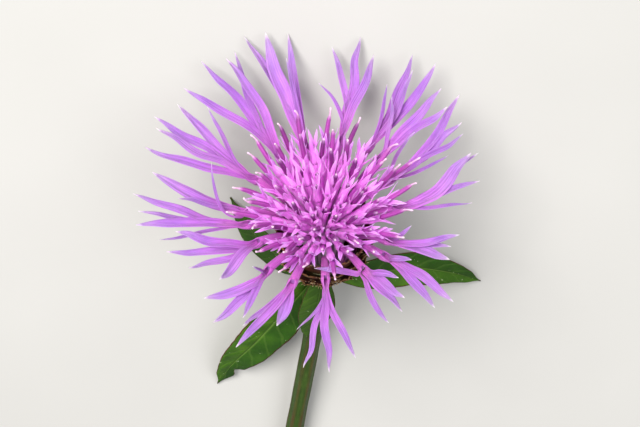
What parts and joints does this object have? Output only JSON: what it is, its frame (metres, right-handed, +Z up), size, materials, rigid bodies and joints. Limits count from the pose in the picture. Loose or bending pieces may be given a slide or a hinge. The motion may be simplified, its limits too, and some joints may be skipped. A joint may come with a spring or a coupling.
{
  "type": "knapweed flower",
  "caption": "Picked knapweed flower lying on its side: a round head of split ray florets and a brush of disc florets over a scaly brown cup, with a cut stem and leaves below the head.",
  "frame": {"origin": "middle of the flower's bounding box, on the surface it lies on", "axes": "+Z up; +Y from the cut end of the stem towards the head, along the flower's length; +X to the right as seen from above with the head at the top"},
  "size_m": [0.045, 0.096, 0.0342],
  "materials": {
    "ray_floret": "satin petal",
    "disc_floret": "satin petal",
    "bract": "dry and matt",
    "receptacle": "matt flesh",
    "stem": "satin, ridged",
    "leaf": "satin"
  },
  "bodies": {
    "root": {"receptacle": "receptacle", "bract_row_1": "bract", "bract_row_2": "bract", "bract_row_3": "bract", "bract_row_4": "bract", "bract_row_5": "bract", "ray_floret_01": "ray_floret", "ray_floret_02": "ray_floret", "ray_floret_03": "ray_floret", "ray_floret_04": "ray_floret", "ray_floret_05": "ray_floret", "ray_floret_06": "ray_floret", "ray_floret_07": "ray_floret", "ray_floret_08": "ray_floret", "ray_floret_09": "ray_floret", "ray_floret_10": "ray_floret", "ray_floret_11": "ray_floret", "ray_floret_12": "ray_floret", "ray_floret_13": "ray_floret", "ray_floret_14": "ray_floret", "ray_floret_15": "ray_floret", "ray_floret_16": "ray_floret", "ray_floret_17": "ray_floret", "disc_floret_01": "disc_floret", "disc_floret_02": "disc_floret", "disc_floret_03": "disc_floret", "disc_floret_04": "disc_floret", "disc_floret_05": "disc_floret", "disc_floret_06": "disc_floret", "disc_floret_07": "disc_floret", "disc_floret_08": "disc_floret", "disc_floret_09": "disc_floret", "disc_floret_10": "disc_floret", "disc_floret_11": "disc_floret", "disc_floret_12": "disc_floret", "disc_floret_13": "disc_floret", "disc_floret_14": "disc_floret", "disc_floret_15": "disc_floret", "disc_floret_16": "disc_floret", "disc_floret_17": "disc_floret", "disc_floret_18": "disc_floret", "disc_floret_19": "disc_floret", "disc_floret_20": "disc_floret", "disc_floret_21": "disc_floret", "disc_floret_22": "disc_floret", "disc_floret_23": "disc_floret", "disc_floret_24": "disc_floret", "disc_floret_25": "disc_floret", "disc_floret_26": "disc_floret", "disc_floret_27": "disc_floret", "disc_floret_28": "disc_floret", "disc_floret_29": "disc_floret", "disc_floret_30": "disc_floret", "disc_floret_31": "disc_floret", "disc_floret_32": "disc_floret", "stem": "stem", "leaf_left": "leaf", "leaf_right": "leaf", "leaf_upper": "leaf", "leaf_under": "leaf"}
  },
  "joints": []
}
